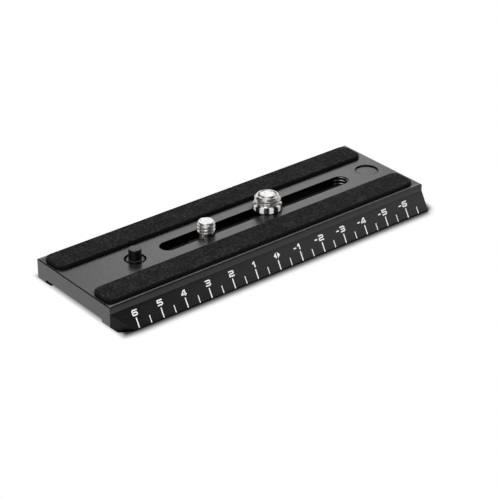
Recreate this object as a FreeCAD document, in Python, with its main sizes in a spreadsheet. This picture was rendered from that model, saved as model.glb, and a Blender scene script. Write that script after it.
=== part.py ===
import FreeCAD, Part
import math
import os
import re
import Sketcher

# Tripod quick release plate, in millimetres.
# Origin: middle of the base, on the plane that the two feet stand on.
# X runs along the plate, its nose at -X. Y runs across it, the scale at -Y. Z points up.

sizes = (
    ("plate_length", 139.0, "length of the plate"),
    ("top_width", 42.0, "width across the top face"),
    ("base_width", 49.4, "width across the dovetail's lips"),
    ("plate_thickness", 9.6, "height of the top face above the feet"),
    ("lip_height", 0.5, "upright edge below the dovetail's slope"),
    ("lip_break", 0.25, "bevel at the lower edges of the feet"),
    ("side_band_height", 2.6, "upright band above the dovetail's slope"),
    ("channel_width", 32.8, "width of the open channel between the feet"),
    ("channel_depth", 3.4, "depth of that channel"),
    ("channel_corner", 0.6, "radius in the channel's upper corners"),
    ("nose_run", 6.9, "length of the cut corners at the nose"),
    ("nose_lead", 2.2, "bevel under the nose"),
    ("edge_break", 0.3, "bevel round the top face"),
    ("slot_start", -30.0, "centre of the slot's end near the pin"),
    ("slot_end", 48.4, "centre of the slot's other end"),
    ("slot_width", 6.2, "width of the slot"),
    ("slot_edge_break", 0.15, "bevel round the slot's top edge"),
    ("slot_web", 3.4, "metal left over the screw heads"),
    ("head_track_width", 16.0, "width of the track that the heads slide in"),
    ("recess_place", 61.5, "centre of the round recess"),
    ("recess_diameter", 8.8, "diameter of the round recess"),
    ("recess_depth", 0.45, "depth of the round recess"),
    ("grip_nose_margin", 1.25, "metal left bare between a grip strip and the nose"),
    ("grip_tail_margin", 2.25, "metal left bare between a grip strip and the tail"),
    ("grip_side_margin", 1.7, "metal left bare between a grip strip and the side"),
    ("grip_width", 10.3, "width of a grip strip"),
    ("grip_corner", 2.8, "corner radius of a strip"),
    ("grip_proud", 1.2, "height of a strip above the plate"),
    ("grip_edge_break", 0.25, "bevel round a strip's top edge"),
    ("grip_bed_depth", 0.4, "depth of the bed that a strip is glued in"),
    ("grip_bed_gap", 0.1, "room round a strip in its bed"),
    ("pin_place", -44.0, "centre of the anti-twist pin"),
    ("pin_diameter", 4.5, "diameter of the pin's free end"),
    ("pin_guide_diameter", 5.0, "diameter of the pin where the sleeve guides it"),
    ("pin_guide_proud", 0.1, "height of the guided part above the plate"),
    ("pin_proud", 4.0, "height of the pin above the plate"),
    ("pin_travel", 3.0, "how far the pin can be pushed down"),
    ("pin_tip_bevel", 0.25, "bevel round the pin's tip"),
    ("pin_collar_width", 0.3, "step of the collar that holds the pin in"),
    ("pin_collar_height", 0.8, "height of that collar"),
    ("pin_running_gap", 0.05, "radial room of the pin in its sleeve"),
    ("pin_stop_gap", 0.02, "room between the collar and the sleeve's lip"),
    ("sleeve_diameter", 6.4, "outside diameter of the sleeve"),
    ("sleeve_recess", 0.2, "depth of the sleeve's rim below the top face"),
    ("sleeve_lip_height", 1.0, "height of the lip that stops the collar"),
    ("sleeve_fit_gap", 0.02, "radial room of the sleeve in the plate"),
    ("ring_groove_diameter", 7.8, "diameter of the groove round the sleeve"),
    ("ring_groove_depth", 1.0, "depth of that groove"),
    ("cap_thickness", 0.7, "thickness of the disc that closes the sleeve"),
    ("cap_fit_gap", 0.02, "radial room of the disc in the sleeve"),
    ("spring_wire", 0.35, "thickness of the spring's wire"),
    ("spring_turns", 4.5, "turns of the spring"),
    ("spring_side_gap", 0.35, "radial room of the spring in the sleeve"),
    ("spring_spare", 0.05, "room left over the closed spring when the pin is down"),
    ("spring_end_gap", 0.02, "room at each end of the spring"),
    ("small_screw_place", -13.6, "place of the small screw along the slot"),
    ("large_screw_place", 13.9, "place of the large screw along the slot"),
    ("small_thread_diameter", 6.35, "outside diameter of the 1/4 inch thread"),
    ("small_thread_length", 4.15, "length of that thread on the small screw"),
    ("long_thread_length", 5.7, "length of that thread inside the bush"),
    ("thread_tip_bevel", 0.6, "bevel at the thread's tip"),
    ("thread_root_bevel", 0.4, "bevel at the thread's foot"),
    ("shank_diameter", 4.9, "diameter of the shank in the slot"),
    ("seat_gap", 0.05, "room between the thread's foot and the top face"),
    ("head_diameter", 15.0, "diameter of a screw head"),
    ("head_height", 2.4, "height of a screw head"),
    ("head_bevel", 0.4, "bevel round a screw head"),
    ("coin_slot_width", 1.6, "width of the coin slot in a head"),
    ("coin_slot_depth", 1.1, "depth of the coin slot in a head"),
    ("washer_diameter", 13.0, "outside diameter of a slide washer"),
    ("washer_thickness", 0.5, "thickness of a slide washer"),
    ("washer_bore_gap", 0.08, "radial room of the shank in its washer"),
    ("washer_face_gap", 0.02, "room on each face of a washer"),
    ("large_thread_diameter", 9.525, "outside diameter of the 3/8 inch thread"),
    ("bush_height", 5.4, "height of the bush with its collar"),
    ("bush_tip_bevel", 0.9, "bevel at the bush's tip"),
    ("bush_bore_gap", 0.025, "radial room of the thread in the bush"),
    ("bush_bore_bevel", 0.35, "bevel at the mouth of the bush"),
    ("bush_collar_diameter", 10.2, "diameter of the bush's collar"),
    ("bush_collar_height", 2.0, "height of the bush's collar"),
    ("bush_collar_bevel", 0.2, "bevel round that collar"),
    ("bush_relief_depth", 0.5, "depth of the groove over the collar"),
    ("bush_relief_height", 0.4, "height of that groove"),
    ("stop_screw_diameter", 4.0, "diameter of a stop screw"),
    ("stop_screw_length", 5.6, "length of a stop screw"),
    ("stop_screw_proud", 2.2, "length that stands in the channel"),
    ("stop_screw_spacing", 120.0, "distance between the two stop screws"),
    ("stop_screw_side", 12.2, "distance of the stop screws from the middle"),
    ("stop_screw_bevel", 0.4, "bevel at each end of a stop screw"),
    ("stop_screw_fit_gap", 0.02, "radial room of a stop screw in its hole"),
    ("stop_hole_spare", 0.4, "depth of the hole past the screw's end"),
    ("hex_across_flats", 2.0, "key size of a stop screw"),
    ("hex_depth", 1.6, "depth of the key socket"),
)

tiny = 1e-6

doc = FreeCAD.newDocument("QuickReleasePlate")
sheet = doc.addObject("Spreadsheet::Sheet", "Sizes")
for row, (alias, number, meaning) in enumerate(sizes, start=1):
    sheet.set("A%d" % row, meaning)
    sheet.set("B%d" % row, str(number))
    sheet.setAlias("B%d" % row, alias)
doc.recompute()

# Heights that several pieces share, as formulas of the sizes.
track_roof = "(plate_thickness - slot_web)"
washer_top = "(plate_thickness - slot_web - washer_face_gap)"
washer_foot = "(plate_thickness - slot_web - washer_face_gap - washer_thickness)"
head_top = "(plate_thickness - slot_web - 2 * washer_face_gap - washer_thickness)"
head_foot = "(%s - head_height)" % head_top
seat = "(plate_thickness + seat_gap)"
sleeve_rim = "(plate_thickness - sleeve_recess)"
lip_foot = "(plate_thickness - sleeve_recess - sleeve_lip_height)"
collar_top = "(%s - pin_stop_gap)" % lip_foot
collar_foot = "(%s - pin_stop_gap - pin_collar_height)" % lip_foot
closed_spring = "((spring_turns + 1) * spring_wire + spring_spare)"
cap_top = "(%s - pin_travel - %s)" % (collar_foot, closed_spring)
sleeve_foot = "(%s - cap_thickness)" % cap_top
collar_radius = "(pin_guide_diameter / 2 + pin_collar_width)"
chamber_radius = "(pin_guide_diameter / 2 + pin_collar_width + pin_running_gap)"
grip_start = "(grip_nose_margin - plate_length / 2)"
grip_end = "(plate_length / 2 - grip_tail_margin)"
grip_outer = "(top_width / 2 - grip_side_margin)"
grip_inner = "(top_width / 2 - grip_side_margin - grip_width)"


def bind(formula):
    """Write the sheet's name before each size in a formula, but not before a function."""
    return re.sub(r"[a-z][a-z_]+\b(?!\()", lambda word: "Sizes." + word.group(), formula)


def value(formula):
    return float(sheet.evalExpression(bind(formula)))


def hold(sketch, kind, formula, *place):
    """Add a constraint that follows a formula."""
    index = sketch.addConstraint(Sketcher.Constraint(kind, *place, value(formula)))
    sketch.setExpression("Constraints[%d]" % index, bind(formula))


def hold_point(sketch, edge, end, across, up):
    """Tie a point to the sketch's origin by two formulas. A zero puts it on the axis."""
    origin = (-1, 1)
    if across == "0":
        sketch.addConstraint(Sketcher.Constraint("PointOnObject", edge, end, -2))
    else:
        hold(sketch, "DistanceX", across, *origin, edge, end)
    if up == "0":
        sketch.addConstraint(Sketcher.Constraint("PointOnObject", edge, end, -1))
    else:
        hold(sketch, "DistanceY", up, *origin, edge, end)


def draw_outline(sketch, corners):
    """Closed outline of straight edges through corners given as formulas."""
    points = [FreeCAD.Vector(value(across), value(up), 0) for across, up in corners]
    first = sketch.GeometryCount
    count = len(points)
    for n in range(count):
        sketch.addGeometry(Part.LineSegment(points[n], points[(n + 1) % count]))
    for n in range(count):
        after = first + (n + 1) % count
        sketch.addConstraint(Sketcher.Constraint("Coincident", first + n, 2, after, 1))
    for n, (across, up) in enumerate(corners):
        hold_point(sketch, first + n, 1, across, up)


def draw_circle(sketch, across, up, diameter):
    centre = FreeCAD.Vector(value(across), value(up), 0)
    circle = Part.Circle(centre, FreeCAD.Vector(0, 0, 1), value(diameter) / 2)
    edge = sketch.addGeometry(circle)
    hold_point(sketch, edge, 3, across, up)
    hold(sketch, "Diameter", diameter, edge)


def draw_chain(sketch, pieces):
    """Closed chain of lines and arcs, each tangent to the next."""
    first = sketch.GeometryCount
    for piece in pieces:
        sketch.addGeometry(piece)
    count = len(pieces)
    for n in range(count):
        after = first + (n + 1) % count
        sketch.addConstraint(Sketcher.Constraint("Tangent", first + n, 2, after, 1))
    return first


def arc(across, up, radius, quarter, quarters):
    """Anticlockwise arc that starts at a whole number of quarter turns."""
    centre = FreeCAD.Vector(across, up, 0)
    circle = Part.Circle(centre, FreeCAD.Vector(0, 0, 1), radius)
    right_angle = math.pi / 2
    return Part.ArcOfCircle(circle, quarter * right_angle, (quarter + quarters) * right_angle)


def line(x1, y1, x2, y2):
    return Part.LineSegment(FreeCAD.Vector(x1, y1, 0), FreeCAD.Vector(x2, y2, 0))


def draw_long_hole(sketch, start, end, width):
    """Slot outline along the sketch's first axis."""
    x1 = value(start)
    x2 = value(end)
    radius = value(width) / 2
    first = draw_chain(sketch, (
        arc(x1, 0, radius, 1, 2),
        line(x1, -radius, x2, -radius),
        arc(x2, 0, radius, 3, 2),
        line(x2, radius, x1, radius),
    ))
    sketch.addConstraint(Sketcher.Constraint("Equal", first, first + 2))
    hold_point(sketch, first, 3, start, "0")
    hold_point(sketch, first + 2, 3, end, "0")
    hold(sketch, "Radius", "(%s) / 2" % width, first)


def draw_rounded_box(sketch, left, right, low, high, corner):
    """Rectangle with equal rounded corners, its sides given as formulas."""
    x1, x2, y1, y2, r = (value(item) for item in (left, right, low, high, corner))
    first = draw_chain(sketch, (
        line(x1 + r, y1, x2 - r, y1),
        arc(x2 - r, y1 + r, r, 3, 1),
        line(x2, y1 + r, x2, y2 - r),
        arc(x2 - r, y2 - r, r, 0, 1),
        line(x2 - r, y2, x1 + r, y2),
        arc(x1 + r, y2 - r, r, 1, 1),
        line(x1, y2 - r, x1, y1 + r),
        arc(x1 + r, y1 + r, r, 2, 1),
    ))
    for n in (0, 4):
        sketch.addConstraint(Sketcher.Constraint("Horizontal", first + n))
        sketch.addConstraint(Sketcher.Constraint("Vertical", first + n + 2))
    for n in (3, 5, 7):
        sketch.addConstraint(Sketcher.Constraint("Equal", first + 1, first + n))
    hold(sketch, "Radius", corner, first + 1)
    hold(sketch, "DistanceY", low, -1, 1, first, 1)
    hold(sketch, "DistanceX", right, -1, 1, first + 2, 1)
    hold(sketch, "DistanceY", high, -1, 1, first + 4, 1)
    hold(sketch, "DistanceX", left, -1, 1, first + 6, 1)


def new_body(name):
    body = doc.addObject("PartDesign::Body", name)
    body.Label = name
    return body


def new_sketch(body, role, name, lift=None):
    """Sketch on one of the body's own planes, raised along its normal by a formula."""
    sketch = body.newObject("Sketcher::SketchObject", name)
    planes = [item for item in body.Origin.OriginFeatures if item.Role == role]
    sketch.AttachmentSupport = [(planes[0], "")]
    sketch.MapMode = "FlatFace"
    if lift:
        sketch.setExpression("AttachmentOffset.Base.z", bind(lift))
    return sketch


def extrude(body, sketch, length, both_ways=False):
    pad = body.newObject("PartDesign::Pad", sketch.Name + "_pad")
    pad.Profile = sketch
    pad.Midplane = both_ways
    pad.setExpression("Length", bind(length))
    doc.recompute()
    return pad


def cut(body, sketch, depth=None, upward=False, both_ways=False):
    """Pocket that has to take metal away, right through if no depth is given."""
    before = body.Shape.Volume
    pocket = body.newObject("PartDesign::Pocket", sketch.Name + "_cut")
    pocket.Profile = sketch
    pocket.Reversed = upward
    pocket.Midplane = both_ways
    if depth:
        pocket.setExpression("Length", bind(depth))
    else:
        pocket.Type = "ThroughAll"
    doc.recompute()
    if pocket.Shape.Volume >= before:
        raise ValueError(pocket.Name + " takes nothing away")
    return pocket


def turn(name, corners, place):
    """Turned piece: a half section in X and Z, revolved about its upright axis."""
    body = new_body(name)
    sketch = new_sketch(body, "XZ_Plane", name + "_section")
    draw_outline(sketch, corners)
    turned = body.newObject("PartDesign::Revolution", name + "_turn")
    turned.Profile = sketch
    turned.ReferenceAxis = (sketch, ["V_Axis"])
    turned.Angle = 360
    body.setExpression("Placement.Base.x", bind(place))
    doc.recompute()
    return body


def find_edges(shape, wanted):
    return ["Edge%d" % n for n, edge in enumerate(shape.Edges, start=1) if wanted(edge)]


def bevel(body, base, edges, size):
    chamfer = body.newObject("PartDesign::Chamfer", base.Name + "_bevel")
    chamfer.Base = (base, edges)
    chamfer.setExpression("Size", bind(size))
    doc.recompute()
    return chamfer


def round_edges(body, base, edges, radius):
    fillet = body.newObject("PartDesign::Fillet", base.Name + "_round")
    fillet.Base = (base, edges)
    fillet.setExpression("Radius", bind(radius))
    doc.recompute()
    return fillet


def cut_nose(body):
    """The nose slips into its clamp: both lip corners are cut and its lower edge is bevelled."""
    corners = new_sketch(body, "XY_Plane", "nose_corners", "plate_thickness")
    tip = "-plate_length / 2"
    past_tip = "-plate_length / 2 - nose_run"
    past_side = "base_width - top_width / 2"
    for side in ("", "-"):
        draw_outline(corners, (
            (tip, side + "top_width / 2"),
            (past_tip, side + "top_width / 2"),
            (past_tip, side + "(%s)" % past_side),
            ("-plate_length / 2 + 2 * nose_run", side + "(%s)" % past_side),
        ))
    cut(body, corners)
    lead = new_sketch(body, "XZ_Plane", "nose_lead_in")
    draw_outline(lead, (
        ("-plate_length / 2 - nose_lead", "2 * nose_lead"),
        ("-plate_length / 2 - nose_lead", "-nose_lead"),
        ("-plate_length / 2 + 2 * nose_lead", "-nose_lead"),
    ))
    return cut(body, lead, "2 * base_width", both_ways=True)


def cut_slot(body):
    """Stepped slot: the shanks slide in the narrow part, the heads in the track under it."""
    slot = new_sketch(body, "XY_Plane", "slot", "plate_thickness")
    draw_long_hole(slot, "slot_start", "slot_end", "slot_width")
    opened = cut(body, slot)
    top = value("plate_thickness")
    side = value("slot_width") / 2
    rim = find_edges(opened.Shape, lambda edge: abs(edge.BoundBox.ZMin - top) < tiny
                     and edge.BoundBox.YMax < side + tiny and edge.BoundBox.YMin > -side - tiny)
    bevel(body, opened, rim, "slot_edge_break")
    track = new_sketch(body, "XY_Plane", "head_track")
    draw_long_hole(track, "slot_start", "slot_end", "head_track_width")
    cut(body, track, track_roof, upward=True)
    entry = new_sketch(body, "XY_Plane", "entry_hole", "plate_thickness")
    draw_circle(entry, "slot_end", "0", "small_thread_diameter")
    cut(body, entry)


def cut_top(body):
    """Beds for the grip strips, the round recess and the bore for the pin's sleeve."""
    beds = new_sketch(body, "XY_Plane", "grip_beds", "plate_thickness")
    for low, high in (("-" + grip_outer, "-" + grip_inner), (grip_inner, grip_outer)):
        draw_rounded_box(
            beds, grip_start + " - grip_bed_gap", grip_end + " + grip_bed_gap",
            low + " - grip_bed_gap", high + " + grip_bed_gap", "grip_corner + grip_bed_gap")
    cut(body, beds, "grip_bed_depth")
    recess = new_sketch(body, "XY_Plane", "round_recess", "plate_thickness")
    draw_circle(recess, "recess_place", "0", "recess_diameter")
    cut(body, recess, "recess_depth")
    groove = new_sketch(body, "XY_Plane", "ring_groove", "plate_thickness")
    draw_circle(groove, "pin_place", "0", "ring_groove_diameter")
    cut(body, groove, "ring_groove_depth")
    bore = new_sketch(body, "XY_Plane", "sleeve_bore", "plate_thickness")
    draw_circle(bore, "pin_place", "0", "sleeve_diameter + 2 * sleeve_fit_gap")
    cut(body, bore)


def cut_stop_holes(body):
    """Blind holes from the channel's roof for the two stop screws."""
    holes = new_sketch(body, "XY_Plane", "stop_holes", "channel_depth")
    for end in ("-", ""):
        draw_circle(holes, end + "stop_screw_spacing / 2", "-stop_screw_side",
                    "stop_screw_diameter + 2 * stop_screw_fit_gap")
    depth = "stop_screw_length - stop_screw_proud + stop_hole_spare"
    cut(body, holes, depth, upward=True)


def make_plate():
    """Extruded dovetail section, then the cuts."""
    body = new_body("plate_body")
    section = new_sketch(body, "YZ_Plane", "dovetail_section")
    half = (
        ("channel_width / 2", "channel_depth"),
        ("channel_width / 2", "lip_break"),
        ("(channel_width / 2 + lip_break)", "0"),
        ("(base_width / 2 - lip_break)", "0"),
        ("base_width / 2", "lip_break"),
        ("base_width / 2", "lip_height"),
        ("top_width / 2", "plate_thickness - side_band_height"),
        ("top_width / 2", "plate_thickness"),
    )
    mirrored = tuple(("-" + across, up) for across, up in reversed(half))
    draw_outline(section, half + mirrored)
    bar = extrude(body, section, "plate_length", both_ways=True)
    roof = value("channel_depth")
    wall = value("channel_width") / 2
    corners = find_edges(bar.Shape, lambda edge: abs(edge.BoundBox.ZMin - roof) < tiny
                         and abs(abs(edge.BoundBox.YMin) - wall) < tiny
                         and abs(abs(edge.BoundBox.YMax) - wall) < tiny
                         and edge.BoundBox.YLength < tiny)
    round_edges(body, bar, corners, "channel_corner")
    nose = cut_nose(body)
    top = value("plate_thickness")
    rim = find_edges(nose.Shape, lambda edge: abs(edge.BoundBox.ZMin - top) < tiny)
    bevel(body, nose, rim, "edge_break")
    cut_slot(body)
    cut_top(body)
    cut_stop_holes(body)
    return body


def make_grip(name, low, high):
    """Rubber grip strip, glued in its bed."""
    body = new_body(name)
    strip = new_sketch(body, "XY_Plane", name + "_shape", "plate_thickness - grip_bed_depth")
    draw_rounded_box(strip, grip_start, grip_end, low, high, "grip_corner")
    block = extrude(body, strip, "grip_bed_depth + grip_proud")
    top = value("plate_thickness + grip_proud")
    rim = find_edges(block.Shape, lambda edge: abs(edge.BoundBox.ZMin - top) < tiny)
    bevel(body, block, rim, "grip_edge_break")
    return body


def make_pin():
    """Plunger with a guided part and a collar that stays under the sleeve's lip."""
    tip = "plate_thickness + pin_proud"
    shoulder = "plate_thickness + pin_guide_proud"
    guide = "pin_guide_diameter / 2"
    radius = "pin_diameter / 2"
    return turn("anti_twist_pin", (
        ("0", collar_foot),
        (collar_radius, collar_foot),
        (collar_radius, collar_top),
        (guide, collar_top),
        (guide, shoulder),
        (radius, shoulder),
        (radius, tip + " - pin_tip_bevel"),
        (radius + " - pin_tip_bevel", tip),
        ("0", tip),
    ), "pin_place")


def make_sleeve():
    """Sleeve with an inward lip at the top, open below for the cap."""
    mouth = "pin_guide_diameter / 2 + pin_running_gap"
    return turn("pin_sleeve", (
        (chamber_radius, sleeve_foot),
        ("sleeve_diameter / 2", sleeve_foot),
        ("sleeve_diameter / 2", sleeve_rim),
        (mouth, sleeve_rim),
        (mouth, lip_foot),
        (chamber_radius, lip_foot),
    ), "pin_place")


def make_cap():
    """Disc pressed into the sleeve's open end."""
    radius = "%s - cap_fit_gap" % chamber_radius
    return turn("pin_cap", (
        ("0", sleeve_foot),
        (radius, sleeve_foot),
        (radius, cap_top),
        ("0", cap_top),
    ), "pin_place")


def make_spring():
    """Coil spring between the cap and the pin's collar. Its wire has eight sides."""
    body = new_body("pin_spring")
    wire = new_sketch(body, "XZ_Plane", "spring_wire_section")
    radius = "(%s - spring_side_gap - spring_wire / 2)" % chamber_radius
    height = "(%s + spring_end_gap + spring_wire / 2)" % cap_top
    flat = "spring_wire / 2"
    corner = "spring_wire / 2 * (sqrt(2) - 1)"
    right = ((flat, "-" + corner), (flat, corner), (corner, flat))
    left = (("-" + corner, flat), ("-" + flat, corner), ("-" + flat, "-" + corner))
    foot = (("-" + corner, "-" + flat), (corner, "-" + flat))
    draw_outline(wire, [("%s + (%s)" % (radius, across), "%s + (%s)" % (height, up))
                        for across, up in right + left + foot])
    coil = body.newObject("PartDesign::AdditiveHelix", "spring_coil")
    coil.Profile = wire
    coil.ReferenceAxis = (wire, ["V_Axis"])
    coil.Mode = "height-turns-angle"
    room = "%s - %s - 2 * spring_end_gap - spring_wire" % (collar_foot, cap_top)
    coil.setExpression("Height", bind(room))
    coil.setExpression("Turns", bind("spring_turns"))
    body.setExpression("Placement.Base.x", bind("pin_place"))
    doc.recompute()
    return body


def make_screw(name, thread_length, place):
    """Captive camera screw: coin-slotted head, thin shank, thread wider than the slot."""
    thread = "small_thread_diameter / 2"
    tip = seat + " + " + thread_length
    body = turn(name, (
        ("0", head_foot),
        ("head_diameter / 2 - head_bevel", head_foot),
        ("head_diameter / 2", head_foot + " + head_bevel"),
        ("head_diameter / 2", head_top),
        ("shank_diameter / 2", head_top),
        ("shank_diameter / 2", seat),
        (thread + " - thread_root_bevel", seat),
        (thread, seat + " + thread_root_bevel"),
        (thread, tip + " - thread_tip_bevel"),
        (thread + " - thread_tip_bevel", tip),
        ("0", tip),
    ), place)
    groove = new_sketch(body, "XY_Plane", name + "_coin_slot", head_foot)
    draw_outline(groove, (
        ("-head_diameter", "-coin_slot_width / 2"),
        ("head_diameter", "-coin_slot_width / 2"),
        ("head_diameter", "coin_slot_width / 2"),
        ("-head_diameter", "coin_slot_width / 2"),
    ))
    cut(body, groove, "coin_slot_depth", upward=True)
    return body


def make_washer(name, place):
    """Slide washer between a screw head and the track's roof."""
    bore = "shank_diameter / 2 + washer_bore_gap"
    return turn(name, (
        (bore, washer_foot),
        ("washer_diameter / 2", washer_foot),
        ("washer_diameter / 2", washer_top),
        (bore, washer_top),
    ), place)


def make_bush():
    """Bush with the large thread outside and the small one inside, on a collar."""
    bore = "small_thread_diameter / 2 + bush_bore_gap"
    thread = "large_thread_diameter / 2"
    collar = "bush_collar_diameter / 2"
    collar_rim = seat + " + bush_collar_height"
    relief_top = collar_rim + " + bush_relief_height"
    tip = seat + " + bush_height"
    return turn("bush_3_8", (
        (bore, seat),
        (collar + " - bush_collar_bevel", seat),
        (collar, seat + " + bush_collar_bevel"),
        (collar, collar_rim + " - bush_collar_bevel"),
        (collar + " - bush_collar_bevel", collar_rim),
        (thread + " - bush_relief_depth", collar_rim),
        (thread + " - bush_relief_depth", relief_top),
        (thread, relief_top + " + bush_relief_depth"),
        (thread, tip + " - bush_tip_bevel"),
        (thread + " - bush_tip_bevel", tip),
        (bore + " + bush_bore_bevel", tip),
        (bore, tip + " - bush_bore_bevel"),
    ), "large_screw_place")


def make_stop_screws():
    """Two set screws with key sockets, one near each end of the channel."""
    foot = "(channel_depth - stop_screw_proud)"
    top = "(channel_depth - stop_screw_proud + stop_screw_length)"
    radius = "stop_screw_diameter / 2"
    body = turn("stop_screws", (
        ("0", foot),
        (radius + " - stop_screw_bevel", foot),
        (radius, foot + " + stop_screw_bevel"),
        (radius, top + " - stop_screw_bevel"),
        (radius + " - stop_screw_bevel", top),
        ("0", top),
    ), "-stop_screw_spacing / 2")
    body.setExpression("Placement.Base.y", bind("-stop_screw_side"))
    socket = new_sketch(body, "XY_Plane", "key_socket", foot)
    half_flat = "hex_across_flats / 2"
    half_side = "hex_across_flats / 2 / sqrt(3)"
    draw_outline(socket, (
        ("0", "2 * %s" % half_side),
        ("-" + half_flat, half_side),
        ("-" + half_flat, "-" + half_side),
        ("0", "-2 * %s" % half_side),
        (half_flat, "-" + half_side),
        (half_flat, half_side),
    ))
    pocket = cut(body, socket, "hex_depth", upward=True)
    pair = body.newObject("PartDesign::LinearPattern", "stop_screw_pair")
    pair.TransformMode = "Whole shape"
    along = [item for item in body.Origin.OriginFeatures if item.Role == "X_Axis"]
    pair.Direction = (along[0], [""])
    pair.setExpression("Length", bind("stop_screw_spacing"))
    pair.Occurrences = 2
    body.Tip = pair
    doc.recompute()
    return body


pieces = [
    make_plate(),
    make_grip("front_pad", "-" + grip_outer, "-" + grip_inner),
    make_grip("rear_pad", grip_inner, grip_outer),
    make_pin(),
    make_sleeve(),
    make_cap(),
    make_spring(),
    make_screw("screw_1_4", "small_thread_length", "small_screw_place"),
    make_washer("washer_1_4", "small_screw_place"),
    make_screw("screw_3_8", "long_thread_length", "large_screw_place"),
    make_washer("washer_3_8", "large_screw_place"),
    make_bush(),
    make_stop_screws(),
]
doc.recompute()

for item in doc.Objects:
    if "Invalid" in item.State or "Error" in item.State:
        raise RuntimeError(item.Name + " failed: " + ", ".join(item.State))

os.makedirs("parts", exist_ok=True)
for piece in pieces:
    shape = piece.Shape
    if shape.isNull() or not shape.isValid() or not shape.Solids:
        raise RuntimeError(piece.Label + " has no valid shape")
    shape.exportStep("parts/%s.step" % piece.Label)
    print(piece.Label, len(shape.Solids), round(shape.Volume, 2))
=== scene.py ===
import math

import bmesh
import bpy
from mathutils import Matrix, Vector


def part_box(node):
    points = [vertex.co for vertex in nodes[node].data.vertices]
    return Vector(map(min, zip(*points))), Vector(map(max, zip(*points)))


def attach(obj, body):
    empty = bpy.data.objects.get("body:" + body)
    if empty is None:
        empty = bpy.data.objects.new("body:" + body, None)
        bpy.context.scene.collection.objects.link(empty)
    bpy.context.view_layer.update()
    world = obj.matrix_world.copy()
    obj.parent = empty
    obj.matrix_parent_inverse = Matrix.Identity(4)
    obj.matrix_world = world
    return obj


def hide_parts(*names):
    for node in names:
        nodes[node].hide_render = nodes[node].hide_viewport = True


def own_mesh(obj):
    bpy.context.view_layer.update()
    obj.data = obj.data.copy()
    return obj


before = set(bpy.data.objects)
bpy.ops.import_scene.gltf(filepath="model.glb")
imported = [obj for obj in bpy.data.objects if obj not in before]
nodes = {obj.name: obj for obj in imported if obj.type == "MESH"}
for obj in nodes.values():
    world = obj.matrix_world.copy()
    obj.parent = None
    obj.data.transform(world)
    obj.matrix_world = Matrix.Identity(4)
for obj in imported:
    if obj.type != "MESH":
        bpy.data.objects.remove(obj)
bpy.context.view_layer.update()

mm = 0.001
print("frame loaded:", len(nodes), "nodes")


# One socket of a material. Sums and products of wires add their Math nodes.
class Wire:
    def __init__(self, tree, socket=None):
        self.tree = tree
        self.socket = socket

    # any node: its settings first, then the values or links of its sockets
    def node(self, kind, settings=None, sockets=None, out=0):
        made = self.tree.nodes.new(kind)
        for key, value in (settings or {}).items():
            if key == "stops":
                ramp = made.color_ramp.elements
                ramp[0].position, ramp[0].color = value[0]
                ramp[1].position, ramp[1].color = value[-1]
                for position, colour in value[1:-1]:
                    ramp.new(position).color = colour
            else:
                setattr(made, key, value)
        for key, value in (sockets or {}).items():
            if isinstance(value, Wire):
                self.tree.links.new(value.socket, made.inputs[key])
            else:
                made.inputs[key].default_value = value
        return Wire(self.tree, made.outputs[out] if len(made.outputs) else None)

    def maths(self, operation, first, second=0):
        return self.node("ShaderNodeMath", {"operation": operation}, {0: first, 1: second})

    def vector(self, operation, first, second=(0, 0, 0), out="Vector"):
        return self.node("ShaderNodeVectorMath", {"operation": operation}, {0: first, 1: second}, out)

    def __add__(self, other):
        return self.maths("ADD", self, other)

    def __sub__(self, other):
        return self.maths("SUBTRACT", self, other)

    def __mul__(self, other):
        return self.maths("MULTIPLY", self, other)

    def __pow__(self, other):
        return self.maths("POWER", self, other)

    def __rsub__(self, other):
        return self.maths("SUBTRACT", other, self)

    def __rpow__(self, other):
        return self.maths("POWER", other, self)

    __radd__ = __add__
    __rmul__ = __mul__

    def __abs__(self):
        return self.maths("ABSOLUTE", self)

    def larger(self, other):
        return self.maths("MAXIMUM", self, other)

    # from 0 to 1, as the value goes from low to high
    def step(self, low, high):
        return self.node("ShaderNodeMapRange", {}, {0: self, 1: low, 2: high})

    # one of two colours, or something between them
    def pick(self, dark, light):
        return self.node("ShaderNodeMix", {"data_type": "RGBA"}, {0: self, 6: dark, 7: light}, 2)


def rgb(red, green, blue):
    return (red, green, blue, 1)


def grey(level):
    return rgb(level, level, level)


def newMaterial(name):
    material = bpy.data.materials.new(name)
    material.use_nodes = True
    material.node_tree.nodes.clear()
    return material, Wire(material.node_tree)


# the object's own coordinates, in millimetres
def placeInMm(wire):
    place = wire.node("ShaderNodeTexCoord", out="Object")
    return wire.node("ShaderNodeVectorMath", {"operation": "SCALE"}, {0: place, "Scale": 1 / mm})


def part(wire, vector, axis):
    return wire.node("ShaderNodeSeparateXYZ", {}, {0: vector}, axis)


def stretch(wire, place, by):
    return wire.vector("MULTIPLY", place, by)


def noise(wire, place, size, detail, rough):
    return wire.node("ShaderNodeTexNoise", {}, {
        "Vector": place, "Scale": 1 / size, "Detail": detail, "Roughness": rough})


# how far the surface faces along one axis, whichever way
def facingAlong(wire, axis):
    return abs(part(wire, wire.node("ShaderNodeNewGeometry", out="Normal"), axis))


# 1 in the open, less where walls stand within reach: the piece's own ones, or those of the whole scene
def openness(wire, reach, whole=False, samples=8):
    return wire.node("ShaderNodeAmbientOcclusion", {"samples": samples, "only_local": not whole},
                     {"Distance": reach * mm}, "AO")


# 1 on a worn edge, 0 away from it
def edgeWear(wire, reach, gain, samples=6):
    soft = wire.node("ShaderNodeBevel", {"samples": samples}, {"Radius": reach * mm})
    plain = wire.node("ShaderNodeNewGeometry", out="Normal")
    alike = wire.vector("DOT_PRODUCT", soft, plain, out="Value")
    return ((1 - alike) * gain).step(0, 1)


def bump(wire, height, depth):
    return wire.node("ShaderNodeBump", {}, {"Strength": 1, "Distance": depth * mm, "Height": height})


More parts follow.
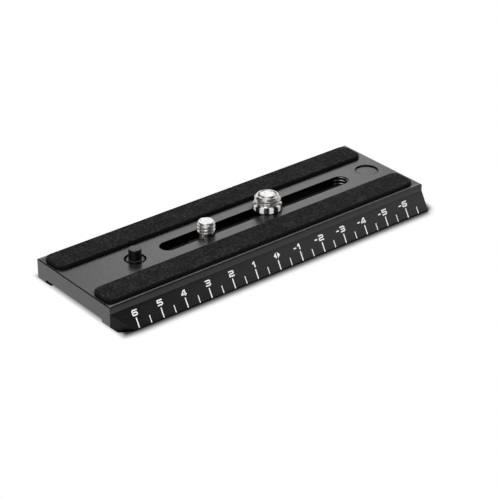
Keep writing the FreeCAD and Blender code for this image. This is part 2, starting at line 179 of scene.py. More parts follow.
def surface(material, wire, sockets):
    shader = wire.node("ShaderNodeBsdfPrincipled", {}, sockets)
    wire.node("ShaderNodeOutputMaterial", {}, {"Surface": shader})
    return material


def dress(material, *names):
    for name in names:
        data = nodes[name].data
        data.materials.clear()
        data.materials.append(material)


# Finishes. A noise is its size in mm, its detail and its roughness.
# A band, a facing, or a pair of heights or places is the value that counts as none and the one that counts as all.
anodised = {
    "colour": rgb(0.0048, 0.0049, 0.0052), "cloudColour": rgb(0.0080, 0.0081, 0.0086),
    "wornColour": rgb(0.10, 0.10, 0.105), "rubbedHighlightColour": rgb(0.15, 0.15, 0.155), "gritColour": grey(0.13),
    "litEndColour": rgb(0.026, 0.026, 0.027), "deepShadeColour": rgb(0.0010, 0.0010, 0.0011),
    "roughness": 0.23, "roughnessSpread": 0.08, "wornGloss": 0.05, "ior": 1.55,
    "grain": (0.11, 2, 0.6), "grainDepth": 0.010, "cloud": (9.0, 4, 0.6), "cloudBand": (0.35, 0.7),
    "nicks": (0.5, 3, 0.7), "nickBand": (0.45, 0.7), "grit": (0.6, 2, 0.8), "gritBand": (0.57, 0.79),
    "wearReach": 0.16, "wearGain": 1.6, "deepShadeReach": 14.0, "deepShadeBand": (0.93, 0.84),
    "contactShadeReach": 3.0, "contactShadeBand": (0.82, 0.62), "contactShadeShare": 0.9,
    # how far a face looks along one of the axes
    "flatFacing": (0.9, 0.97), "uprightFacing": (0.3, 0.1), "endFacing": (0.8, 0.95), "sideFacing": (0.8, 0.95),
    "cornerFacing": (0.25, 0.4), "cornerNotEnd": (0.8, 0.6), "slopeFacing": (0.75, 0.85), "slopeUp": (0.3, 0.45),
    # heights and places in mm
    "sideHeights": (7.4, 9.4), "slopeHeights": (6.2, 0.5), "rubbedHighlightPlaces": (19.8, 20.1), "rubbedHighlightShare": 0.7,
    "sideShadeShare": 0.50, "sideShadeLeast": 0.02, "slopeShadeShare": 0.26, "cornerShadeShare": 0.7,
}


def makeAnodised(look):
    material, wire = newMaterial("anodised_black")
    place = placeInMm(wire)
    grain = noise(wire, place, *look["grain"])
    cloud = noise(wire, place, *look["cloud"])
    nicks = noise(wire, place, *look["nicks"]).step(*look["nickBand"])
    wear = edgeWear(wire, look["wearReach"], look["wearGain"]) * nicks
    along, across, up = (facingAlong(wire, axis) for axis in range(3))
    upright, flat = up.step(*look["uprightFacing"]), up.step(*look["flatFacing"])
    offMiddle, height = abs(part(wire, place, 1)), part(wire, place, 2)

    colour = cloud.step(*look["cloudBand"]).pick(look["colour"], look["cloudColour"])
    grit = noise(wire, place, *look["grit"]).step(*look["gritBand"]) * flat
    colour = grit.pick(colour, look["gritColour"])
    # the top's long edges: rubbed, and painted lighter as a highlight
    share = look["rubbedHighlightShare"]
    rubbedHighlight = offMiddle.step(*look["rubbedHighlightPlaces"]) * flat * (nicks * (1 - share) + share)   # the top's long edges
    litEnds = along.step(*look["endFacing"])   # the two ends painted lighter, a painted light
    colour = litEnds.pick(rubbedHighlight.pick(colour, look["rubbedHighlightColour"]), look["litEndColour"])

    # painted shade: the sides, the slope and the two cut corners at the nose are painted darker with less gloss, most
    # high on the sides and low on the slope
    side = across.step(*look["sideFacing"]) * upright
    side = side * (height.step(*look["sideHeights"]) * look["sideShadeShare"] + look["sideShadeLeast"])
    slope = across.step(*look["slopeFacing"]) * up.step(*look["slopeUp"])
    slope = slope * height.step(*look["slopeHeights"]) * look["slopeShadeShare"]
    corner = along.step(*look["cornerFacing"]) * along.step(*look["cornerNotEnd"]) * upright
    facingShade = (side + slope).larger(corner * look["cornerShadeShare"])

    # painted shade: deep in the slot, and where another piece stands close, the colour turns near black and loses its
    # gloss
    deepShade = openness(wire, look["deepShadeReach"]).step(*look["deepShadeBand"])
    contactShade = openness(wire, look["contactShadeReach"], True).step(*look["contactShadeBand"]) * look["contactShadeShare"]
    deepShade = deepShade.larger(contactShade)
    return surface(material, wire, {
        "Base Color": deepShade.pick(wear.pick(colour, look["wornColour"]), look["deepShadeColour"]),
        "Metallic": deepShade.larger(facingShade),
        "Roughness": (grain + cloud - 1) * look["roughnessSpread"] + look["roughness"] - wear * look["wornGloss"],
        "IOR": look["ior"],
        "Normal": bump(wire, grain, look["grainDepth"]),
    })


rubber = {
    "stops": [(0.43, rgb(0.0004, 0.0004, 0.0005)), (0.5, rgb(0.0038, 0.0038, 0.0041)),
              (0.58, rgb(0.027, 0.027, 0.0275))],
    "wallColour": rgb(0.0012, 0.0012, 0.0013), "dustColour": rgb(0.022, 0.022, 0.0225),
    "roughness": 0.85, "roughnessSpread": 0.2, "ior": 1.28, "pebble": 0.62, "pebbleSmooth": 0.6,
    "fine": (0.24, 3, 0.7), "coarse": (0.85, 3, 0.65), "broad": (4.0, 3, 0.6), "grainDepth": 0.05,
    "pebbleHeight": 0.7, "fineHeight": 0.5, "coarseShare": 0.62, "fineShare": 0.18, "broadShare": 0.20,
    "topFacing": (0.6, 0.95), "dustReach": 0.25, "dustGain": 1.2, "dustShare": 0.2,
}


def makeRubber(look):
    material, wire = newMaterial("grained_rubber")
    place = placeInMm(wire)
    pebbles = wire.node("ShaderNodeTexVoronoi", {"feature": "SMOOTH_F1"}, {
        "Vector": place, "Scale": 1 / look["pebble"], "Smoothness": look["pebbleSmooth"]}, "Distance")
    fine, coarse, broad = (noise(wire, place, *look[size]) for size in ("fine", "coarse", "broad"))
    height = (1 - pebbles) * look["pebbleHeight"] + fine * look["fineHeight"]
    speck = coarse * look["coarseShare"] + fine * look["fineShare"] + broad * look["broadShare"]
    colour = wire.node("ShaderNodeValToRGB", {"stops": look["stops"]}, {"Fac": speck})
    top = facingAlong(wire, 2).step(*look["topFacing"])   # the specks only lie on top
    dust = edgeWear(wire, look["dustReach"], look["dustGain"]) * look["dustShare"]
    return surface(material, wire, {
        "Base Color": dust.pick(top.pick(look["wallColour"], colour), look["dustColour"]),
        "Roughness": (fine - 0.5) * look["roughnessSpread"] + look["roughness"],
        "IOR": look["ior"],
        "Normal": bump(wire, height, look["grainDepth"]),
    })


# What all turned and drawn pieces share: lines that run round the axis, and marks that run along it.
turned = {
    "lineStretch": (0.35, 0.35, 6.0), "lineNoise": (3, 0.6), "blotchNoise": (4, 0.6), "blotchBand": (0.35, 0.7),
    "mark": 1.3, "markStretch": (1, 1, 0.1), "markNoise": (2, 0.5), "markBand": (0.48, 0.36), "markShare": 0.1,
    "tipFacing": (0.85, 1), "tipWear": 0, "hollowShadeReach": 5.0, "hollowShadeBand": (0.42, 0.14), "markAndShadeColour": grey(0.01),
}
nickel = {
    **turned, "markShare": 0.35,
    "colour": rgb(0.51, 0.495, 0.482), "blotchColour": rgb(0.60, 0.583, 0.57), "wornColour": rgb(0.73, 0.715, 0.70),
    "metallic": 0.85, "roughness": 0.12, "roughnessSpread": 0.08, "ior": 1.5,
    "line": 0.5, "lineDepth": 0.004, "blotch": 1.2, "wearReach": 0.12, "wearGain": 0.5,
}
bushNickel = {
    **nickel, "markShare": 0.55, "axis": 13.9, "litStripes": 9, "litStripesTurn": -64.8, "litStripesTop": (11.9, 11.7),
    "litStripeBand": (-0.1, 0.4), "litStripeColour": rgb(0.97, 0.95, 0.93), "collarShade": 0.85, "collarRough": 0.15,
}
sleeveLook = {
    **turned, "axis": -44.0, "bright": rgb(0.27, 0.27, 0.265), "brightBand": (2.74, 2.62),
    "colour": grey(0.012), "blotchColour": grey(0.020), "wornColour": grey(0.10),
    "metallic": 1.0, "roughness": 0.42, "roughnessSpread": 0.10, "ior": 1.5,
    "line": 0.3, "lineDepth": 0.004, "blotch": 1.2, "wearReach": 0.06, "wearGain": 0.4,
}
pinLook = {
    **turned, "tipWear": 0.85,
    "colour": rgb(0.0030, 0.0030, 0.0033), "blotchColour": rgb(0.006, 0.006, 0.0063), "wornColour": grey(0.085),
    "metallic": 0.0, "roughness": 0.30, "roughnessSpread": 0.12, "ior": 1.28,
    "line": 0.3, "lineDepth": 0.003, "blotch": 1.4, "wearReach": 0.10, "wearGain": 0.6,
}
springLook = {
    **turned,
    "colour": rgb(0.46, 0.455, 0.45), "blotchColour": rgb(0.56, 0.55, 0.54), "wornColour": rgb(0.66, 0.65, 0.64),
    "metallic": 1.0, "roughness": 0.28, "roughnessSpread": 0.10, "ior": 1.5,
    "line": 0.2, "lineDepth": 0.002, "blotch": 0.6, "wearReach": 0.05, "wearGain": 0.5,
}
stopLook = {
    **turned,
    "colour": rgb(0.020, 0.020, 0.023), "blotchColour": rgb(0.035, 0.034, 0.036), "wornColour": rgb(0.20, 0.195, 0.19),
    "metallic": 0.6, "roughness": 0.40, "roughnessSpread": 0.16, "ior": 1.6,
    "line": 0.25, "lineDepth": 0.004, "blotch": 0.9, "wearReach": 0.12, "wearGain": 0.8,
}
nylonLook = {
    **turned,
    "colour": rgb(0.030, 0.030, 0.031), "blotchColour": rgb(0.042, 0.042, 0.043), "wornColour": grey(0.10),
    "metallic": 0.0, "roughness": 0.50, "roughnessSpread": 0.14, "ior": 1.53,
    "line": 0.4, "lineDepth": 0.004, "blotch": 1.5, "wearReach": 0.10, "wearGain": 0.5,
}
entryLook = {
    **turned, "axis": 48.4, "bright": rgb(0.22, 0.22, 0.225), "brightBand": (2.96, 2.76),
    "colour": rgb(0.004, 0.004, 0.0042), "blotchColour": grey(0.010), "wornColour": rgb(0.20, 0.20, 0.205),
    "metallic": 1.0, "roughness": 0.30, "roughnessSpread": 0.10, "ior": 1.5,
    "line": 0.3, "lineDepth": 0.003, "blotch": 0.9, "wearReach": 0.08, "wearGain": 0.6,
}


# fine lines round the axis, blotches, painted shade in the corners and close to other pieces, and brighter worn edges
def makeMetal(name, look):
    material, wire = newMaterial(name)
    place = placeInMm(wire)
    lines = noise(wire, stretch(wire, place, look["lineStretch"]), look["line"], *look["lineNoise"])
    blotch = noise(wire, place, look["blotch"], *look["blotchNoise"])
    marks = noise(wire, stretch(wire, place, look["markStretch"]), look["mark"], *look["markNoise"])
    wear = edgeWear(wire, look["wearReach"], look["wearGain"])
    worn = wear.larger(facingAlong(wire, 2).step(*look["tipFacing"]) * look["tipWear"])
    # painted shade where walls of this piece or of others stand close
    hollowShade = openness(wire, look["hollowShadeReach"], True).step(*look["hollowShadeBand"])
    colour = blotch.step(*look["blotchBand"]).pick(look["colour"], look["blotchColour"])
    colour = (marks.step(*look["markBand"]) * look["markShare"]).pick(colour, look["markAndShadeColour"])
    metallic, roughness = look["metallic"], look["roughness"]
    if "bright" in look:   # a lighter ring close to the piece's own axis: bare metal, and a painted highlight for its glints
        fromAxis = wire.vector("SUBTRACT", stretch(wire, place, (1, 1, 0)), (look["axis"], 0, 0))
        bareAndHighlit = wire.vector("LENGTH", fromAxis, out="Value").step(*look["brightBand"])
        colour = bareAndHighlit.pick(colour, look["bright"])
    if "litStripes" in look:   # painted highlight stripes round a collar, and painted shade between them, standing in for the collar's reflections
        fromAxis = wire.vector("SUBTRACT", place, (look["axis"], 0, 0))
        x, y, z = (part(wire, fromAxis, axis) for axis in range(3))
        turn = wire.maths("ARCTAN2", y, x) * look["litStripes"] + math.radians(look["litStripesTurn"])
        collar = z.step(*look["litStripesTop"])
        litStripes = wire.maths("COSINE", turn).step(*look["litStripeBand"]) * collar
        shadedBetween = (collar * look["collarShade"]).pick(colour, look["markAndShadeColour"])
        colour = litStripes.pick(shadedBetween, look["litStripeColour"])
        metallic = (1 - litStripes) * metallic
        roughness = collar * look["collarRough"] + roughness
    return surface(material, wire, {
        "Base Color": hollowShade.pick(worn.pick(colour, look["wornColour"]), look["markAndShadeColour"]),
        "Metallic": metallic,
        "Roughness": (blotch + lines - 1) * look["roughnessSpread"] + roughness,
        "IOR": look["ior"],
        "Normal": bump(wire, lines, look["lineDepth"]),
    })


ink = {
    "colour": grey(0.90), "thinColour": grey(0.66), "roughness": 0.55, "roughnessSpread": 0.2,
    "speck": (0.16, 3, 0.7), "speckBand": (0.3, 0.8), "speckDepth": 0.006,
    "thin": (1.1, 3, 0.6), "thinBand": (0.55, 0.85),
}


def makeInk(look):
    material, wire = newMaterial("white_ink")
    place = placeInMm(wire)
    speck = noise(wire, place, *look["speck"])
    thin = noise(wire, place, *look["thin"]).step(*look["thinBand"]) * speck.step(*look["speckBand"])
    return surface(material, wire, {
        "Base Color": thin.pick(look["colour"], look["thinColour"]),
        "Roughness": (speck - 0.5) * look["roughnessSpread"] + look["roughness"],
        "Normal": bump(wire, speck, look["speckDepth"]),
    })


nickelPlate = makeMetal("nickel_plate", nickel)
dress(makeAnodised(anodised), "plate_body")
dress(makeRubber(rubber), "front_pad", "rear_pad")
dress(makeMetal("blackened_pin", pinLook), "anti_twist_pin")
dress(makeMetal("turned_sleeve", sleeveLook), "pin_sleeve", "pin_cap")
dress(makeMetal("black_nylon", nylonLook), "washer_1_4", "washer_3_8")
dress(makeMetal("black_oxide", stopLook), "stop_screws")
print("finishes made:", len(bpy.data.materials))


sharpAngle = 35


def newPiece(name, points, faces, material, sharp=sharpAngle):
    mesh = bpy.data.meshes.new(name)
    mesh.from_pydata(points, [], faces)
    mesh.shade_smooth()
    mesh.set_sharp_from_angle(angle=math.radians(sharp))
    mesh.materials.append(material)
    piece = bpy.data.objects.new(name, mesh)
    bpy.context.scene.collection.objects.link(piece)
    return piece


# A 60 degree thread, rounded at crest and root, in shares of its pitch.
thread = {"crest": 0.02, "flank": 0.42, "depth": 0.541}
close = 1e-6   # mm that count as none


# depth below the crest
def threadDepth(turns):
    away = abs(turns - round(turns))
    ramp = min(max((away - thread["crest"]) / thread["flank"], 0), 1)
    return thread["depth"] * ramp * ramp * (3 - 2 * ramp)


# Section corners (radius, height) from the axis at the foot to the axis at the tip, or a closed loop.
# Rows between threadFoot and threadTip are close together, and the thread is cut into them.
def turnPiece(name, look, corners, material, hollow=False):
    pitch = look["pitch"]
    columns = look["columns"]
    loop = corners + corners[:1] if hollow else corners
    rings = []
    for (r1, z1), (r2, z2) in zip(loop, loop[1:]):
        cutHere = min(z1, z2) >= look["threadFoot"] - close and max(z1, z2) <= look["threadTip"] + close
        cutHere = cutHere and min(r1, r2) > look["threadInside"]
        seam = bool(rings) and rings[-1][2]   # the ring that ends a thread is cut too
        count = max(1, math.ceil(math.hypot(r2 - r1, z2 - z1) / pitch * look["rows"])) if cutHere else 1
        for n in range(count):
            cut = cutHere or (seam and n == 0)
            rings.append((r1 + (r2 - r1) * n / count, z1 + (z2 - z1) * n / count, cut))
    if not hollow:
        rings = [ring for ring in rings if ring[0] > close]
    points = []
    for radius, height, cut in rings:
        for column in range(columns):
            turn = column / columns
            r = radius
            if cut:
                r = min(r, look["major"] - pitch * threadDepth((height - look["crest"]) / pitch - turn))
            points.append((r * math.cos(2 * math.pi * turn) * mm + look["place"] * mm,
                           r * math.sin(2 * math.pi * turn) * mm, height * mm))
    faces = []
    last = len(rings) if hollow else len(rings) - 1
    for row in range(last):
        after = (row + 1) % len(rings)
        for column in range(columns):
            beside = (column + 1) % columns
            faces.append((row * columns + column, row * columns + beside,
                          after * columns + beside, after * columns + column))
    if not hollow:
        foot, tip = len(points), len(points) + 1
        points += [(look["place"] * mm, 0, corners[0][1] * mm), (look["place"] * mm, 0, corners[-1][1] * mm)]
        top = (len(rings) - 1) * columns
        for column in range(columns):
            beside = (column + 1) % columns
            faces += [(foot, beside, column), (tip, top + column, top + beside)]
    return newPiece(name, points, faces, material)


# takes a coin slot out of the underside of a screw head
def cutCoinSlot(piece, look):
    tool = bmesh.new()
    bmesh.ops.create_cube(tool, size=1)
    middle = look["headFoot"] + look["coinDepth"] / 2 - look["cutterBelow"] / 2
    for vert in tool.verts:
        vert.co.x = vert.co.x * look["cutterLength"] * mm + look["place"] * mm
        vert.co.y = vert.co.y * look["coinWidth"] * mm
        vert.co.z = (middle + vert.co.z * (look["coinDepth"] + look["cutterBelow"])) * mm
    mesh = bpy.data.meshes.new("coin_cutter")
    tool.to_mesh(mesh)
    tool.free()
    cutter = bpy.data.objects.new("coin_cutter", mesh)
    bpy.context.scene.collection.objects.link(cutter)
    change = piece.modifiers.new("coin_slot", "BOOLEAN")
    change.object = cutter
    change.operation = "DIFFERENCE"
    change.solver = "EXACT"
    bpy.context.view_layer.update()
    result = bpy.data.meshes.new_from_object(piece.evaluated_get(bpy.context.evaluated_depsgraph_get()))
    piece.modifiers.clear()
    piece.data = result
    result.set_sharp_from_angle(angle=math.radians(sharpAngle))
    bpy.data.objects.remove(cutter)


def takePlace(piece, node, body):
    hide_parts(node)
    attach(piece, body)


smallScrew = {
    "place": -13.6, "major": 3.175, "pitch": 1.27, "crest": 9.470, "rows": 32, "columns": 128,
    "threadFoot": 9.65, "threadTip": 13.8, "threadInside": 2.5, "rootBevel": 0.4, "tipBevel": 0.6,
    "shank": 2.45, "headFoot": 3.26, "headTop": 5.66, "headDiameter": 15.0, "headBevel": 0.4,
    "headEdge": 0.12, "coinWidth": 1.6, "coinDepth": 1.1, "cutterLength": 18.0, "cutterBelow": 1,
}
largeStud = dict(smallScrew, place=13.9, threadTip=15.35, crest=9.9)


def screwCorners(look):
    head = look["headDiameter"] / 2
    return [
        (0, look["headFoot"]), (head - look["headBevel"], look["headFoot"]),
        (head - look["headEdge"], look["headFoot"] + look["headEdge"]),
        (head, look["headFoot"] + look["headBevel"]),
        (head, look["headTop"]), (look["shank"], look["headTop"]), (look["shank"], look["threadFoot"]),
        (look["major"] - look["rootBevel"], look["threadFoot"]),
        (look["major"], look["threadFoot"] + look["rootBevel"]),
        (look["major"], look["threadTip"] - look["tipBevel"]),
        (look["major"] - look["tipBevel"], look["threadTip"]), (0, look["threadTip"]),
    ]


small = turnPiece("small_screw", smallScrew, screwCorners(smallScrew), nickelPlate)
cutCoinSlot(small, smallScrew)
takePlace(small, "screw_1_4", "small_screw")

stud = turnPiece("large_stud", largeStud, screwCorners(largeStud), nickelPlate)
cutCoinSlot(stud, largeStud)
takePlace(stud, "screw_3_8", "large_screw")

bush = {
    "place": 13.9, "major": 4.7625, "pitch": 1.5875, "crest": 12.15, "rows": 32, "columns": 144,
    "threadFoot": 12.05, "threadTip": 15.05, "threadInside": 3.7,
    "bore": 3.2, "foot": 9.65, "tip": 15.05, "collar": 5.1, "collarTop": 11.65, "collarBevel": 0.2,
    "relief": 4.2625, "reliefTop": 12.05, "tipBevel": 0.9, "boreBevel": 0.35,
}
bushCorners = [
    (bush["bore"], bush["foot"]), (bush["collar"] - bush["collarBevel"], bush["foot"]),
    (bush["collar"], bush["foot"] + bush["collarBevel"]),
    (bush["collar"], bush["collarTop"] - bush["collarBevel"] / 2),
    (bush["collar"] - bush["collarBevel"], bush["collarTop"]),
    (bush["relief"], bush["collarTop"]), (bush["relief"], bush["reliefTop"]),
    (bush["major"], bush["reliefTop"] + bush["major"] - bush["relief"]),
    (bush["major"], bush["tip"] - bush["tipBevel"]), (bush["major"] - bush["tipBevel"], bush["tip"]),
    (bush["bore"] + bush["boreBevel"], bush["tip"]), (bush["bore"], bush["tip"] - bush["boreBevel"]),
]
largeBush = turnPiece("large_bush", bush, bushCorners, makeMetal("bush_nickel_plate", bushNickel), hollow=True)
takePlace(largeBush, "bush_3_8", "large_screw")
print("threads cut")


spring = {
    "axis": -44.0, "wire": 0.35, "turns": 4.5, "sides": 10, "steps": 36,
    "fixedEnd": 2.605, "keep": 0.39, "sharp": 60,   # keep: closed height as a share of the height at rest
}


def makeSpring():
    low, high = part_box("pin_spring")
    half = spring["wire"] / 2
    radius = (high[0] - low[0]) / 2 / mm - half
    foot, top = low[2] / mm + half, high[2] / mm - half
    count = round(spring["turns"] * spring["steps"])
    sides = spring["sides"]
    points, faces = [], []
    for step in range(count + 1):
        turn = 2 * math.pi * step / spring["steps"]
        for side in range(sides):
            lean = 2 * math.pi * side / sides
            r = radius + half * math.cos(lean)
            points.append(((spring["axis"] + r * math.cos(turn)) * mm, r * math.sin(turn) * mm,
                           (foot + (top - foot) * step / count + half * math.sin(lean)) * mm))
    for step in range(count):
        for side in range(sides):
            a, b = step * sides + side, step * sides + (side + 1) % sides
            faces.append((a, a + sides, b + sides, b))
    faces += [tuple(range(sides)), tuple(count * sides + side for side in reversed(range(sides)))]
    return newPiece("coil_spring", points, faces, makeMetal("spring_wire", springLook), spring["sharp"])


coil = makeSpring()
takePlace(coil, "pin_spring", "plate")
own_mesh(coil)
print("spring wound")


# Thread inside the entry at the slot's tail end. It spans "reach" degrees to either side, and fades out over "fade".
entry = {
    "place": 48.4, "root": 3.165, "crestRadius": 2.66, "sunk": 3.23, "pitch": 1.27, "crest": 9.2,
    "foot": 6.2, "top": 9.6, "lead": 0.45, "reach": 105, "fade": 12, "columns": 90, "rows": 84,
}


def makeEntryThread():
    points = []
    columns, rows = entry["columns"], entry["rows"]
    for row in range(rows + 1):
        height = entry["foot"] + (entry["top"] - entry["foot"]) * row / rows
        lead = min(1, (entry["top"] - height) / entry["lead"], (height - entry["foot"]) / entry["lead"])
        for column in range(columns + 1):
            angle = entry["reach"] * (2 * column / columns - 1)
            fade = min(1, (entry["reach"] - abs(angle)) / entry["fade"]) * max(lead, 0)
            turns = (height - entry["crest"]) / entry["pitch"] - angle / 360
            share = 1 - threadDepth(turns) / thread["depth"]
            r = entry["root"] - (entry["root"] - entry["crestRadius"]) * share * fade
            points.append((r, angle, height))
    inside = len(points)
    for row in (0, rows):
        height = entry["foot"] if row == 0 else entry["top"]
        for column in range(columns + 1):
            points.append((entry["sunk"], entry["reach"] * (2 * column / columns - 1), height))
    width = columns + 1
    faces = []
    for row in range(rows):
        for column in range(columns):
            a = row * width + column
            faces.append((a, a + width, a + width + 1, a + 1))
    top = rows * width
    for column in range(columns):
        low, high = inside + column, inside + width + column
        faces += [(low, low + 1, high + 1, high), (column, column + 1, low + 1, low),
                  (top + column, high, high + 1, top + column + 1)]
    faces.append((inside, inside + width, *(row * width for row in range(rows, -1, -1))))
    faces.append((inside + 2 * width - 1, inside + width - 1, *(row * width + columns for row in range(rows + 1))))
    spots = [((entry["place"] + r * math.cos(math.radians(angle))) * mm,
              r * math.sin(math.radians(angle)) * mm, height * mm) for r, angle, height in points]
    return newPiece("entry_thread", spots, faces, makeMetal("worn_highlit_entry_thread", entryLook))


entryThread = makeEntryThread()
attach(entryThread, "plate")
print("entry thread made")


# Scale printed on the front slope: "top" and "foot" are the slope's edges, across and up.
scale = {
    "top": (-21.0, 7.0), "foot": (-24.7, 0.5), "proud": 0.025, "sunk": 0.02,
    "zero": -0.35, "step": 10.03, "numbers": 6,
    "tickFrom": 3.98, "tickTo": 7.43, "halfFrom": 4.85, "halfTo": 7.43, "tickWidth": 0.42, "halfWidth": 0.33,
    "digitTop": 1.48, "digitHeight": 1.65, "digitWidth": 1.75, "stroke": 0.44, "mitreLeast": 0.45,
    "minusFrom": -2.6, "minusTo": -1.85, "minusDown": 0.95, "minusOne": 0.42,
    "markHalf": 1.36, "markGap": 0.55, "markAside": 0.12,
    "digitAside": {1: 0.1, 2: 0.2, 3: 0.2, 4: 0, 5: 0.2, 6: 0.05},   # the printer's own offsets
}

# strokes of each digit in a square of one by one, across and down
digits = {
    1: [[(0.22, 0.26), (0.45, 0.02), (0.56, 0.02), (0.56, 1)]],
    2: [[(0, 0), (0.85, 0), (1, 0.14), (1, 0.38), (0.86, 0.5), (0.14, 0.5), (0, 0.64), (0, 1), (1, 1)]],
    3: [[(0, 0), (0.85, 0), (1, 0.14), (1, 0.86), (0.85, 1), (0, 1)], [(0.2, 0.5), (1, 0.5)]],
    4: [[(0.8, 1), (0.8, 0), (0.6, 0), (0, 0.72), (0, 0.8), (1, 0.8)]],
    5: [[(1, 0), (0, 0), (0, 0.46), (0.85, 0.46), (1, 0.6), (1, 0.86), (0.85, 1), (0, 1)]],
    6: [[(1, 0), (0.15, 0), (0, 0.14), (0, 0.86), (0.15, 1), (0.85, 1), (1, 0.86), (1, 0.6), (0.85, 0.46), (0, 0.46)]],
}


# a stroke of even width with mitred corners, as flat four-sided pieces
def strokeQuads(path, width):
    line = [Vector(point) for point in path]
    edges = []
    for n, point in enumerate(line):
        before = (point - line[n - 1]).normalized() if n else None
        after = (line[n + 1] - point).normalized() if n + 1 < len(line) else None
        ahead = ((before or after) + (after or before)).normalized()
        side = Vector((-ahead.y, ahead.x))
        spread = side.dot(Vector((-(after or before).y, (after or before).x)))
        reach = width / 2 / max(spread, scale["mitreLeast"])
        end = ahead * width / 2 * ((not after) - (not before))
        edges.append((point + side * reach + end, point - side * reach + end))
    return [(a[0], b[0], b[1], a[1]) for a, b in zip(edges, edges[1:])]


# prisms that stand a little proud of the slope; places are along the plate and down the slope
def printOnSlope(name, shapes, material):
    top, foot = Vector((0, *scale["top"])), Vector((0, *scale["foot"]))
    down = (foot - top).normalized()
    normal = Vector((0, down.z, -down.y))
    points, faces = [], []
    for shape in shapes:
        area = sum(a[0] * b[1] - b[0] * a[1] for a, b in zip(shape, shape[1:] + shape[:1]))
        ring = shape if area < 0 else shape[::-1]
        first, count = len(points), len(ring)
        for lift in (-scale["sunk"], scale["proud"]):
            for along, below in ring:
                points.append(tuple((Vector((along, 0, 0)) + top + down * below + normal * lift) * mm))
        faces.append(tuple(first + n for n in reversed(range(count))))
        faces.append(tuple(first + count + n for n in range(count)))
        for n in range(count):
            m = (n + 1) % count
            faces.append((first + n, first + m, first + count + m, first + count + n))
    return newPiece(name, points, faces, material)


def scaleShapes():
    ticks, numerals = [], []
    for n in range(-2 * scale["numbers"], 2 * scale["numbers"] + 2):
        along = scale["zero"] + n * scale["step"] / 2
        start, end, width = ("halfFrom", "halfTo", "halfWidth") if n % 2 else ("tickFrom", "tickTo", "tickWidth")
        half = scale[width] / 2
        ticks.append([(along - half, scale[start]), (along + half, scale[start]),
                      (along + half, scale[end]), (along - half, scale[end])])
    for number in range(-scale["numbers"], scale["numbers"] + 1):
        if number == 0:
            continue
        along = scale["zero"] + number * scale["step"]
        left = along - scale["digitWidth"] / 2 + scale["digitAside"][abs(number)]
        for path in digits[abs(number)]:
            placed = [(left + u * scale["digitWidth"], scale["digitTop"] + v * scale["digitHeight"]) for u, v in path]
            numerals += strokeQuads(placed, scale["stroke"])
        if number > 0:   # the tail's half has the minus signs, and the one at the 1 stands closer
            near = along + scale["minusOne"] * (number == 1)
            level = scale["digitTop"] + scale["minusDown"]
            minus = [(near + scale["minusFrom"], level), (near + scale["minusTo"], level)]
            numerals += strokeQuads(minus, scale["stroke"])
    middle = scale["digitTop"] + scale["digitHeight"] / 2
    high = scale["digitHeight"] / 2 + scale["stroke"] / 2
    centre = scale["zero"] + scale["markAside"]
    arrows = []
    for side in (-1, 1):
        near = centre + side * scale["markGap"] / 2
        arrows.append([(near, middle - high), (centre + side * scale["markHalf"], middle), (near, middle + high)])
    return ticks, numerals, arrows


whiteInk = makeInk(ink)
for name, shapes in zip(("scale_ticks", "scale_numerals", "scale_zero_mark"), scaleShapes()):
    printed = printOnSlope(name, shapes, whiteInk)
    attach(printed, "plate")
print("scale printed")


studio = {
    "floorSize": 6.0, "floorDrop": 0.00003, "floorGrey": 0.80, "worldLevel": 0.60,
    "shadowReach": 5.5, "shadowSamples": 24, "shadowBand": (0.662, 0.947), "shadowCurve": 2.4,
    "leastBand": (0.25, 0.5), "least": 0.035, "nosePlaces": (-65.6, -68.7),
    "slotShade": 0.70, "slotSides": (14, 10), "slotEnds": (64, 60),
}
keyLight = {"from": (-0.60, -0.50, 0.62), "far": 0.75, "width": 0.5, "height": 0.5, "power": 2.9}
backLight = {"from": (0.552, 0.680, 0.483), "far": 0.81, "width": 0.23, "height": 0.5, "power": 0.282}
# A card's level runs through its stops along a line across it: so much sideways, so much upward.
frontCard = {
    "from": (0.60, -0.72, 0.50), "far": 0.35, "width": 0.9, "height": 0.9,
    "sideways": 0.63, "upward": 0.78, "levelBand": (0.034, -0.0913),
    "stops": [(0, grey(0)), (0.2, grey(0.60)), (0.63, grey(0.82)), (0.91, grey(0.60)), (1, grey(0.85))],
}
sideCard = {
    "from": (-0.52, 0.66, 0.50), "far": 0.45, "width": 0.34, "height": 0.5,
    "sideways": 1, "upward": 0, "levelBand": (0.2, -0.2), "stops": [(0, grey(0.02)), (1, grey(0.03))],
}
view = {"place": (-0.3496, -0.4358, 0.3083), "tilt": 60.91, "turn": -39.21, "lens": 130.176, "sensor": 36}


# rays that see the backdrop itself, not the light that comes from it
def seenRays(wire):
    camera, gloss, through = (wire.node("ShaderNodeLightPath", out=ray) for ray in (
        "Is Camera Ray", "Is Glossy Ray", "Is Transmission Ray"))
    return camera.larger(gloss).larger(through)


def stagePlane(name, corners, material):
    mesh = bpy.data.meshes.new(name)
    mesh.from_pydata(corners, [], [(0, 1, 2, 3)])
    mesh.materials.append(material)
    plane = bpy.data.objects.new(name, mesh)
    bpy.context.scene.collection.objects.link(plane)
    return plane


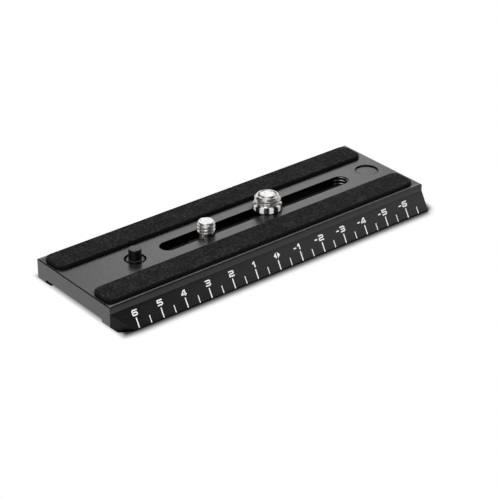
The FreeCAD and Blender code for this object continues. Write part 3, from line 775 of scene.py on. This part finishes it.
# white, with the plate's soft shadow, that leaves out the strip before the nose and is deeper below the slot
def makeFloor():
    material, wire = newMaterial("white_floor")
    opened = openness(wire, studio["shadowReach"], True, studio["shadowSamples"])
    far = opened.step(*studio["shadowBand"]) ** studio["shadowCurve"]
    near = opened.step(*studio["leastBand"]) * studio["least"]
    place = placeInMm(wire)
    along, across = (part(wire, place, axis) for axis in range(2))
    nose = along.step(*studio["nosePlaces"])
    covered = abs(across).step(*studio["slotSides"]) * abs(along).step(*studio["slotEnds"])
    bright = far.larger(near).larger(nose) * (1 - covered * studio["slotShade"])
    white = wire.node("ShaderNodeEmission", {}, {"Strength": bright})
    paper = wire.node("ShaderNodeBsdfDiffuse", {}, {"Color": grey(studio["floorGrey"])})
    mixed = wire.node("ShaderNodeMixShader", {}, {0: seenRays(wire), 1: paper, 2: white})
    wire.node("ShaderNodeOutputMaterial", {}, {"Surface": mixed})
    reach, low = studio["floorSize"] / 2, -studio["floorDrop"]
    corners = [(x * reach, y * reach, low) for x, y in ((-1, -1), (1, -1), (1, 1), (-1, 1))]
    stagePlane("floor", corners, material)


def makeWorld():
    world = bpy.data.worlds.new("studio")
    world.use_nodes = True
    world.node_tree.nodes.clear()
    wire = Wire(world.node_tree)
    level = studio["worldLevel"]
    light = wire.node("ShaderNodeBackground", {}, {"Color": grey(1), "Strength": seenRays(wire) * (1 - level) + level})
    wire.node("ShaderNodeOutputWorld", {}, {"Surface": light})
    bpy.context.scene.world = world


def makeLamp(name, look):
    data = bpy.data.lights.new(name, "AREA")
    data.shape = "RECTANGLE"
    data.size = look["width"]
    data.size_y = look["height"]
    data.energy = look["power"]
    lamp = bpy.data.objects.new(name, data)
    bpy.context.scene.collection.objects.link(lamp)
    toLamp = Vector(look["from"]).normalized()
    lamp.location = toLamp * look["far"]
    lamp.rotation_euler = toLamp.to_track_quat("Z", "Y").to_euler()
    lamp.visible_camera = False


# a card that only gloss shows, so that the slope and the edges stay dark
def makeCard(name, card):
    material, wire = newMaterial(name)
    ahead = Vector(card["from"]).normalized()
    side = ahead.cross(Vector((0, 0, 1))).normalized()
    above = side.cross(ahead)
    middle = ahead * card["far"]
    place = wire.node("ShaderNodeTexCoord", out="Object")
    slant = side * card["sideways"] + above * card["upward"]
    along = wire.vector("DOT_PRODUCT", place, slant, out="Value").step(*card["levelBand"])
    level = wire.node("ShaderNodeValToRGB", {"stops": card["stops"]}, {"Fac": along})
    glow = wire.node("ShaderNodeEmission", {}, {"Strength": level})
    wire.node("ShaderNodeOutputMaterial", {}, {"Surface": glow})
    wide, tall = side * card["width"] / 2, above * card["height"] / 2
    corners = [middle - wide - tall, middle + wide - tall, middle + wide + tall, middle - wide + tall]
    plane = stagePlane(name, corners, material)
    plane.visible_camera = False
    plane.visible_diffuse = False
    plane.visible_shadow = False


def makeCamera():
    data = bpy.data.cameras.new("camera")
    data.sensor_width = view["sensor"]
    data.lens = view["lens"]
    camera = bpy.data.objects.new("camera", data)
    camera.location = view["place"]
    camera.rotation_euler = (math.radians(view["tilt"]), 0, math.radians(view["turn"]))
    bpy.context.scene.collection.objects.link(camera)
    bpy.context.scene.camera = camera


makeFloor()
makeWorld()
makeLamp("key_light", keyLight)
makeLamp("back_light", backLight)
makeCard("front_card", frontCard)
makeCard("side_card", sideCard)
makeCamera()
bpy.context.scene.view_settings.view_transform = "Standard"
print("studio ready")
